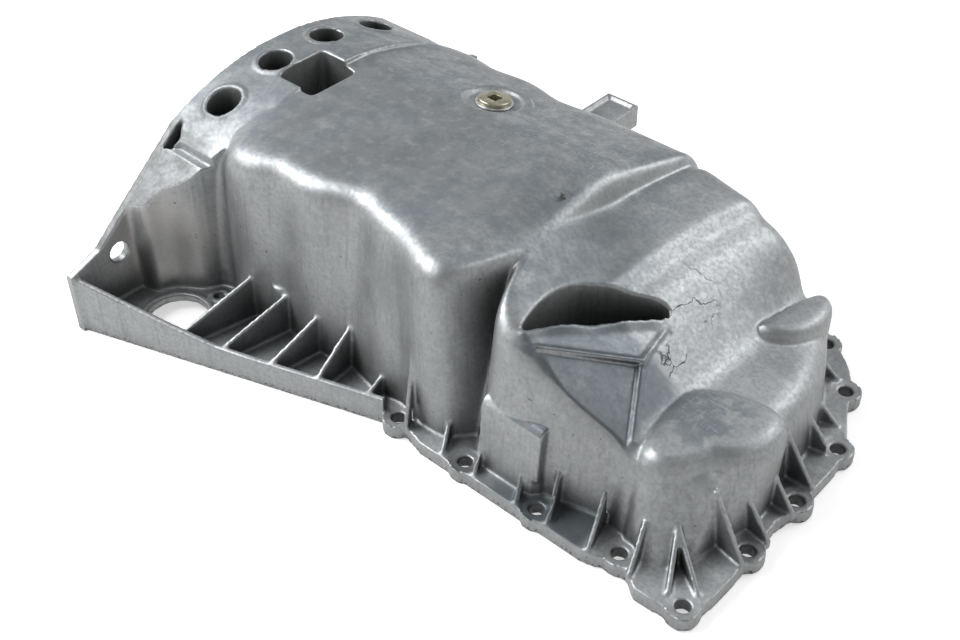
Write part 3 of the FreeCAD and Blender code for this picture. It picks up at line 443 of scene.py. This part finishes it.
# Hair cracks in the cast skin of the nose, and two chips by the step.
wander = nodes.new("ShaderNodeTexVoronoi")
wander.feature = "DISTANCE_TO_EDGE"
wander.inputs["Scale"].default_value = 34
bent = nodes.new("ShaderNodeVectorMath")
bent.operation = "ADD"
ripple = nodes.new("ShaderNodeTexNoise")
ripple.inputs["Scale"].default_value = 90
ripple.inputs["Detail"].default_value = 5
links.new(place.outputs["Object"], ripple.inputs["Vector"])
shift = nodes.new("ShaderNodeVectorMath")
shift.operation = "SCALE"
shift.inputs["Scale"].default_value = 0.014
links.new(ripple.outputs["Color"], shift.inputs[0])
links.new(place.outputs["Object"], bent.inputs[0])
links.new(shift.outputs["Vector"], bent.inputs[1])
links.new(bent.outputs["Vector"], wander.inputs["Vector"])
crack = band(wander.outputs["Distance"], 0.012, 0.004)
off_facets = sums("SUBTRACT", 1.0, facets)
crack = both(crack, near_any(crack_places), off_facets, band(facing.outputs["Z"], 0.4, 0.6))
chip = band(grains(230, 3, 0.6), 0.50, 0.56)
chip = both(chip, near_any(chip_places))
harm = sums("MAXIMUM", crack, chip)
tone = over(both(harm, 0.85), tone, crack_black)
links.new(tone, shader.inputs["Base Color"])

gloss = band(cloud, 0.25, 0.75, 0.42, 0.52)
gloss = sums("ADD", gloss, both(stain, 0.08))
gloss = sums("ADD", gloss, band(speck, 0.3, 0.7, -0.03, 0.05))
links.new(gloss, shader.inputs["Roughness"])

relief = sums("ADD", both(speck, 0.35), both(grains(60, 3, 0.5), 1.2))
relief = sums("ADD", relief, both(sideways, streak, 0.5))
relief = sums("SUBTRACT", relief, both(pit, 0.8))
relief = sums("SUBTRACT", relief, both(harm, 1.2))
peel = nodes.new("ShaderNodeBump")
peel.inputs["Strength"].default_value = 0.35
peel.inputs["Distance"].default_value = 0.0005
links.new(relief, peel.inputs["Height"])
links.new(peel.outputs[0], shader.inputs["Normal"])
casting.data.materials.clear()
casting.data.materials.append(raw)
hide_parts("oil_pan")
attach(casting, "root")

# The sealing washer: a soft aluminium ring, blanked from sheet and squeezed
# between the plug's head and the machined seat, so its edge has rolled over.
bpy.ops.object.select_all(action="DESELECT")
solid = frame["nodes"]["drain_washer"]
solid.select_set(True)
bpy.context.view_layer.objects.active = solid
bpy.ops.object.duplicate()
washer = bpy.context.active_object
washer.name = "washer"
washer.parent = None
del washer["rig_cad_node"]
bpy.ops.object.mode_set(mode="EDIT")
bpy.ops.mesh.select_all(action="SELECT")
bpy.ops.mesh.remove_doubles(threshold=weld)
bpy.ops.mesh.dissolve_limited(angle_limit=math.radians(0.5))
bpy.ops.object.mode_set(mode="OBJECT")
rolled = washer.modifiers.new("rolled", "BEVEL")
rolled.width = 0.0004
rolled.segments = 3
rolled.limit_method = "ANGLE"
rolled.angle_limit = math.radians(50)
bpy.ops.object.modifier_apply(modifier="rolled")
bpy.ops.object.shade_smooth_by_angle(angle=math.radians(35))
ring = bpy.data.materials.new("squeezed_aluminium")
ring.use_nodes = True
nodes = ring.node_tree.nodes
links = ring.node_tree.links
shader = nodes["Principled BSDF"]
shader.inputs["Metallic"].default_value = 0.85
place = nodes.new("ShaderNodeTexCoord")
worn = grains(260, 5, 0.6)
dull_ring = (0.45, 0.45, 0.44, 1)
bright_ring = (0.72, 0.72, 0.70, 1)
links.new(over(band(worn, 0.3, 0.7), dull_ring, bright_ring), shader.inputs["Base Color"])
links.new(band(worn, 0.3, 0.7, 0.30, 0.5), shader.inputs["Roughness"])
lap = nodes.new("ShaderNodeBump")
lap.inputs["Strength"].default_value = 0.2
lap.inputs["Distance"].default_value = 0.0003
links.new(grains(900, 3, 0.5), lap.inputs["Height"])
links.new(lap.outputs[0], shader.inputs["Normal"])
washer.data.materials.clear()
washer.data.materials.append(ring)
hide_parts("drain_washer")
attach(washer, "root")

# The drain plug: turned steel with a flat round head and a broached square
# drive, plated in dull olive zinc, worn bright on the rim and in the drive.
bpy.ops.object.select_all(action="DESELECT")
solid = frame["nodes"]["drain_plug"]
solid.select_set(True)
bpy.context.view_layer.objects.active = solid
bpy.ops.object.duplicate()
plug = bpy.context.active_object
plug.name = "plug"
plug.parent = None
del plug["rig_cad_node"]
bpy.ops.object.mode_set(mode="EDIT")
bpy.ops.mesh.select_all(action="SELECT")
bpy.ops.mesh.remove_doubles(threshold=weld)
bpy.ops.mesh.dissolve_limited(angle_limit=math.radians(0.5))
bpy.ops.object.mode_set(mode="OBJECT")
turned = plug.modifiers.new("turned", "BEVEL")
turned.width = 0.0003
turned.segments = 3
turned.limit_method = "ANGLE"
turned.angle_limit = math.radians(30)
bpy.ops.object.modifier_apply(modifier="turned")
bpy.ops.object.shade_smooth_by_angle(angle=math.radians(35))
bpy.ops.geometry.color_attribute_add(
    name="edges", domain="POINT", data_type="FLOAT_COLOR", color=(0.5, 0.5, 0.5, 1)
)
bpy.ops.object.mode_set(mode="VERTEX_PAINT")
bpy.ops.paint.vertex_color_dirt(
    blur_strength=1.0, blur_iterations=0, clean_angle=math.radians(180), dirt_angle=0,
    dirt_only=False, normalize=True,
)
bpy.ops.object.mode_set(mode="OBJECT")
zinc = bpy.data.materials.new("olive_zinc")
zinc.use_nodes = True
nodes = zinc.node_tree.nodes
links = zinc.node_tree.links
shader = nodes["Principled BSDF"]
shader.inputs["Metallic"].default_value = 0.9
place = nodes.new("ShaderNodeTexCoord")
passivated = grains(190, 5, 0.6)
dark_olive = (0.30, 0.285, 0.215, 1)
pale_olive = (0.46, 0.44, 0.34, 1)
worn_zinc = (0.80, 0.79, 0.72, 1)
tint = over(band(passivated, 0.3, 0.7), dark_olive, pale_olive)
edges = nodes.new("ShaderNodeAttribute")
edges.attribute_name = "edges"
tint = over(both(band(edges.outputs["Fac"], 0.55, 0.75), 0.8), tint, worn_zinc)
links.new(tint, shader.inputs["Base Color"])
links.new(band(passivated, 0.3, 0.7, 0.24, 0.40), shader.inputs["Roughness"])
lathe = nodes.new("ShaderNodeBump")
lathe.inputs["Strength"].default_value = 0.15
lathe.inputs["Distance"].default_value = 0.0002
links.new(grains(1400, 2, 0.5), lathe.inputs["Height"])
links.new(lathe.outputs[0], shader.inputs["Normal"])
plug.data.materials.clear()
plug.data.materials.append(zinc)
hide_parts("drain_plug")
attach(plug, "root")

bpy.context.scene.view_settings.view_transform = "Standard"
